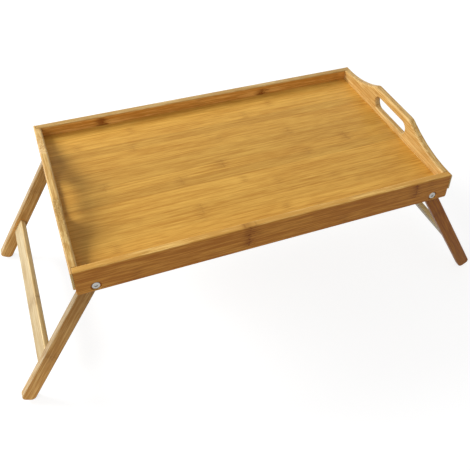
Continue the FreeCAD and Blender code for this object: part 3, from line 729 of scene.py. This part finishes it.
def corner_radius(width):
    """From a hexagon's middle to its corners, for a width across flats."""
    return width / 2 / math.cos(HEXAGON_TURN)


def seat_place(sizes):
    """How far from the tray's middle a bolt's head sits on its rail."""
    return HEAD_FACE - sizes.head_height


def bolt_length(sizes):
    """From under a bolt's head to its tip."""
    nut = sizes.nut_height + sizes.collar_height
    return seat_place(sizes) - NUT_FACE + nut + sizes.bolt_tail


def ring_radius(sizes):
    """Outer radius of the locking ring."""
    return sizes.collar_radius - COLLAR_WALL


def model_bolt(sizes):
    """A round-headed bolt: its seat at the origin, its head up and its thread down."""
    bolt = cylinder(ROUND_SIDES, sizes.head_radius, 0, sizes.head_height)
    round_ring(sizes.head_height, sizes.head_radius, HEAD_ROUND, 6, profile=0.6)

    pick_underside()
    bpy.ops.mesh.inset(thickness=sizes.head_radius - sizes.shank_radius)
    threaded = sizes.thread_turns * sizes.thread_pitch
    draw_out(threaded - bolt_length(sizes))
    half_turn = sizes.thread_pitch / 2
    root = 1 - THREAD_DEPTH * sizes.thread_pitch / sizes.shank_radius
    for turn in range(sizes.thread_turns):
        draw_out(-half_turn, root)
        draw_out(-half_turn, 1 / root if turn < sizes.thread_turns - 1 else root)

    socket = cylinder(HEXAGON_SIDES, corner_radius(sizes.socket_width),
                      sizes.head_height - sizes.socket_depth, sizes.head_height + MM)
    combine(bolt, socket, "DIFFERENCE")
    return bolt


def model_nut(sizes):
    """A hexagon nut with chamfered corners and a round collar, at its place on the bolt."""
    top = NUT_FACE - seat_place(sizes)
    step = top - sizes.nut_height
    end = step - sizes.collar_height
    corner = corner_radius(sizes.nut_width)
    nut = cylinder(HEXAGON_SIDES, corner, step, top)
    heights = step - CUTTER_PAST, top + CUTTER_PAST
    turned = cylinder(ROUND_SIDES, NUT_TRIM * corner, *heights)
    for height in heights:
        round_ring(height, NUT_TRIM * corner, NUT_CHAMFER + CUTTER_PAST, 1)
    combine(nut, turned, "INTERSECT")

    collar = cylinder(ROUND_SIDES, sizes.collar_radius, end, step + COLLAR_ROOT)
    round_ring(end, sizes.collar_radius, COLLAR_ROUND, 3)
    combine(nut, collar, "UNION")
    recess = cylinder(ROUND_SIDES, ring_radius(sizes), end - MM, end + RING_HEIGHT)
    combine(nut, recess, "DIFFERENCE")
    bore = cylinder(ROUND_SIDES, BORE_FIT * sizes.shank_radius, end - MM, top + MM)
    combine(nut, bore, "DIFFERENCE")
    return nut


def model_lock_ring(sizes):
    """The nylon ring inside a nut's collar, gripping the thread."""
    end = NUT_FACE - seat_place(sizes) - sizes.nut_height - sizes.collar_height
    low, hole = end + RING_SUNK, RING_FIT * sizes.shank_radius
    ring = cylinder(ROUND_SIDES, ring_radius(sizes), low, end + RING_HEIGHT)
    combine(ring, cylinder(ROUND_SIDES, hole, end - MM, end + MM), "DIFFERENCE")
    bpy.ops.object.mode_set(mode="EDIT")
    round_ring(low, hole, RING_ROUND, 3)
    bpy.ops.object.mode_set(mode="OBJECT")
    return ring


def set_at_pivots(model, name, material, sizes):
    """Put a copy of a modelled fastener at each pivot, its head end outward, and join them."""
    copies = []
    for pivot in PIVOTS.values():
        for side in (-1, 1):
            copy = model.copy()
            copy.data = model.data.copy()
            bpy.context.scene.collection.objects.link(copy)
            outward = Matrix.Rotation(math.radians(-90 * side), 4, "X")
            place = Matrix.Translation((pivot.x, side * seat_place(sizes), pivot.z))
            copy.data.transform(place @ outward)
            copies.append(copy)
    bpy.data.objects.remove(model)
    bpy.ops.object.select_all(action="DESELECT")
    for copy in copies:
        copy.select_set(True)
    joined = copies[0]
    bpy.context.view_layer.objects.active = joined
    bpy.ops.object.join()
    bpy.ops.object.shade_smooth_by_angle(angle=SMOOTH_BELOW)
    joined.name = name
    joined.data.materials.clear()
    joined.data.materials.append(material)
    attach(joined, "tray")
    return joined


# ---------------------------------------------------------------- operators

class TRAY_OT_dress_panel(bpy.types.Operator):
    """Lay long strips of flat-grain bamboo in the tray's floor"""
    bl_idname = "tray.dress_panel"
    bl_label = "Dress the panel"

    def execute(self, context):
        look = context.scene.tray_bamboo
        dress("tray_panel", bamboo(
            "bamboo_panel", look.panel_honey, middle_of("tray_panel"), ALONG_TRAY, ACROSS_TRAY,
            look.panel_strip, PANEL_SEED, knuckles=PANEL_KNUCKLES))
        return {"FINISHED"}


class TRAY_OT_dress_rails(bpy.types.Operator):
    """Run the grain along the two rails, two strips high"""
    bl_idname = "tray.dress_rails"
    bl_label = "Dress the rails"

    def execute(self, context):
        look = context.scene.tray_bamboo
        for seed, rail in enumerate(RAILS, start=RAIL_SEED):
            # Painted light: each rail's top takes its own paler colour, and the front rail a brown
            # one, for how the lamps fall on them.
            dress(rail, bamboo(
                f"bamboo_{rail}", getattr(look, f"{rail}_honey"), middle_of(rail), ALONG_TRAY,
                UPRIGHT, look.board_strip, seed, contrast=0.7, grain=1.8,
                painted_side_colour=getattr(look, f"{rail}_side"), knuckles=BOARD_KNUCKLES[rail]))
        return {"FINISHED"}


class TRAY_OT_dress_end_boards(bpy.types.Operator):
    """Run the grain along the handles, front to back"""
    bl_idname = "tray.dress_end_boards"
    bl_label = "Dress the end boards"

    def execute(self, context):
        look = context.scene.tray_bamboo
        for seed, board in enumerate(END_BOARDS, start=END_BOARD_SEED):
            dress(board, bamboo(
                f"bamboo_{board}", look.end_honey, middle_of(board), ACROSS_TRAY, UPRIGHT,
                look.board_strip, seed, contrast=0.7, grain=1.5,
                knuckles=BOARD_KNUCKLES[board]))
        return {"FINISHED"}


class TRAY_OT_dress_legs(bpy.types.Operator):
    """Run the grain down each leg"""
    bl_idname = "tray.dress_legs"
    bl_label = "Dress the legs"

    def execute(self, context):
        look = context.scene.tray_bamboo
        for seed, leg in enumerate(LEGS, start=LEG_SEED):
            down = leg_direction(leg)
            # Painted light: the left legs' side faces take a colour of their own and the right
            # legs a darker brown, for how the lamps fall on them.
            if leg.startswith("left"):
                honey, painted_side_colour = look.left_leg_honey, look.leg_painted_side
            else:
                honey = painted_side_colour = look.right_leg_honey
            dress(leg, bamboo(
                f"bamboo_{leg}", honey, middle_of(leg), down, ACROSS_TRAY.cross(down),
                look.leg_strip, seed, contrast=0.8, grain=1.6, painted_side_colour=painted_side_colour,
                painted_bounce=LEG_PAINTED_BOUNCE[leg], knuckles=BOARD_KNUCKLES[leg]))
        return {"FINISHED"}


class TRAY_OT_dress_crossbars(bpy.types.Operator):
    """Run the grain along the crossbars between the legs"""
    bl_idname = "tray.dress_crossbars"
    bl_label = "Dress the crossbars"

    def execute(self, context):
        look = context.scene.tray_bamboo
        for seed, bar in enumerate(CROSSBARS, start=CROSSBAR_SEED):
            down = leg_direction(bar.replace("crossbar", "front_leg"))
            # Painted highlight: a pale colour on the crossbars' narrow edges.
            dress(bar, bamboo(
                f"bamboo_{bar}", look.bar_honey, middle_of(bar), ACROSS_TRAY, down,
                look.leg_strip, seed, contrast=0.8, painted_side_colour=look.bar_painted_edge,
                knuckles=BOARD_KNUCKLES[bar]))
        return {"FINISHED"}


class TRAY_OT_make_bolts(bpy.types.Operator):
    """Model the four pivot bolts, with sockets and threads"""
    bl_idname = "tray.make_bolts"
    bl_label = "Make the bolts"

    def execute(self, context):
        sizes = context.scene.tray_hardware
        bolts = set_at_pivots(
            model_bolt(sizes), "socket_head_bolts", plated_steel("steel_bolts"), sizes)
        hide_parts("pivot_bolts")
        return {"FINISHED"}


class TRAY_OT_make_nuts(bpy.types.Operator):
    """Model the four lock nuts, with chamfers and nylon rings"""
    bl_idname = "tray.make_nuts"
    bl_label = "Make the nuts"

    def execute(self, context):
        sizes = context.scene.tray_hardware
        nuts = set_at_pivots(
            model_nut(sizes), "chamfered_lock_nuts", plated_steel("steel_nuts"), sizes)
        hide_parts("lock_nuts")
        set_at_pivots(model_lock_ring(sizes), "nylon_lock_rings", nylon("nylon_rings"), sizes)
        return {"FINISHED"}


class TRAY_OT_dress_washers(bpy.types.Operator):
    """Plate the washers on both sides of each leg"""
    bl_idname = "tray.dress_washers"
    bl_label = "Dress the washers"

    def execute(self, context):
        for node in WASHERS:
            dress(node, plated_steel(f"steel_{node}"))
        return {"FINISHED"}


class TRAY_OT_set_stage(bpy.types.Operator):
    """Set up the pale floor, the soft lamps and the camera"""
    bl_idname = "tray.set_stage"
    bl_label = "Set the stage"

    def execute(self, context):
        stage = context.scene.tray_stage
        make_floor(stage)
        make_room(context.scene, stage.ambient)
        add_softbox("key_softbox", stage.key_place, stage.key_lamp, stage)
        add_softbox("fill_softbox", stage.fill_place, stage.fill_lamp, stage)
        add_camera(context.scene, stage)
        context.scene.view_settings.view_transform = "Standard"
        return {"FINISHED"}


# ---------------------------------------------------------------- stage

def seen_directly(wire):
    """1 for rays that show the backdrop itself: from the camera, a reflection or glass."""
    rays = wire.node("ShaderNodeLightPath").outputs
    seen = wire.math("MAXIMUM", rays["Is Camera Ray"], rays["Is Glossy Ray"])
    return wire.math("MAXIMUM", seen, rays["Is Transmission Ray"])


def make_floor(stage):
    """A wide pale floor, white to the eye, that keeps the table's soft shadow."""
    bpy.ops.object.select_all(action="DESELECT")
    bpy.ops.mesh.primitive_plane_add(size=stage.floor_size, location=(0, 0, 0))
    floor = bpy.context.object
    floor.name = "studio_floor"
    material = bpy.data.materials.new("pale_floor")
    material.use_nodes = True
    tree = material.node_tree
    tree.nodes.clear()
    wire = Wiring(tree)
    lit = wire.node("ShaderNodeBsdfDiffuse")
    tone = stage.floor_tone
    lit.inputs["Color"].default_value = (tone, tone, tone, 1)
    glow = wire.node("ShaderNodeEmission")
    wire.join(wire.math("MULTIPLY", seen_directly(wire), stage.floor_glow),
              glow.inputs["Strength"])
    both = wire.node("ShaderNodeAddShader")
    wire.join(lit.outputs[0], both.inputs[0])
    wire.join(glow.outputs[0], both.inputs[1])
    ending = wire.node("ShaderNodeOutputMaterial")
    wire.join(both.outputs[0], ending.inputs["Surface"])
    floor.data.materials.append(material)


def make_room(scene, ambient):
    """Even light all round, seen as plain white."""
    world = bpy.data.worlds.new("studio_room")
    world.use_nodes = True
    wire = Wiring(world.node_tree)
    light = world.node_tree.nodes["Background"]
    light.inputs["Color"].default_value = (1, 1, 1, 1)
    wire.join(wire.fade(seen_directly(wire), 0.0, 1.0, ambient, 1.0), light.inputs["Strength"])
    scene.world = world


def add_softbox(name, place, power, stage):
    """A square soft lamp that looks at the tray."""
    lamp = bpy.data.lights.new(name, "AREA")
    lamp.shape = "SQUARE"
    lamp.size = stage.lamp_size
    lamp.energy = power
    holder = bpy.data.objects.new(name, lamp)
    bpy.context.scene.collection.objects.link(holder)
    holder.location = place
    aim = Vector(stage.lamp_aim) - Vector(place)
    holder.rotation_euler = aim.to_track_quat("-Z", "Y").to_euler()


def add_camera(scene, stage):
    """The viewpoint of the product picture."""
    camera = bpy.data.cameras.new("product_camera")
    camera.sensor_width = SENSOR_WIDTH
    camera.lens = stage.lens
    camera.shift_x, camera.shift_y = stage.shift
    holder = bpy.data.objects.new("product_camera", camera)
    scene.collection.objects.link(holder)
    holder.location = stage.camera_place
    holder.rotation_euler = stage.camera_turn
    scene.camera = holder


# ---------------------------------------------------------------- add-on

OPERATORS = (
    TRAY_OT_dress_panel, TRAY_OT_dress_rails, TRAY_OT_dress_end_boards, TRAY_OT_dress_legs,
    TRAY_OT_dress_crossbars, TRAY_OT_make_bolts, TRAY_OT_make_nuts, TRAY_OT_dress_washers,
    TRAY_OT_set_stage,
)


class TRAY_PT_sidebar(bpy.types.Panel):
    """The table's pieces, in the order in which they are made"""
    bl_idname = "TRAY_PT_sidebar"
    bl_label = "Bed Tray"
    bl_space_type = "VIEW_3D"
    bl_region_type = "UI"
    bl_category = "Bed Tray"

    def draw(self, context):
        for step in OPERATORS:
            self.layout.operator(step.bl_idname)


SETTINGS = {
    "tray_bamboo": BambooSettings,
    "tray_hardware": HardwareSettings,
    "tray_stage": StageSettings,
}
CLASSES = (*SETTINGS.values(), *OPERATORS, TRAY_PT_sidebar)


def register():
    """Make the settings, the operators and the panel known."""
    for item in CLASSES:
        bpy.utils.register_class(item)
    for name, group in SETTINGS.items():
        setattr(bpy.types.Scene, name, bpy.props.PointerProperty(type=group))


def unregister():
    """Take them all away again."""
    for name in SETTINGS:
        delattr(bpy.types.Scene, name)
    for item in reversed(CLASSES):
        bpy.utils.unregister_class(item)


def main():
    """Dress the table and set the stage."""
    register()
    for step in OPERATORS:
        family, action = step.bl_idname.split(".")
        getattr(getattr(bpy.ops, family), action)()


if __name__ == "__main__":
    main()
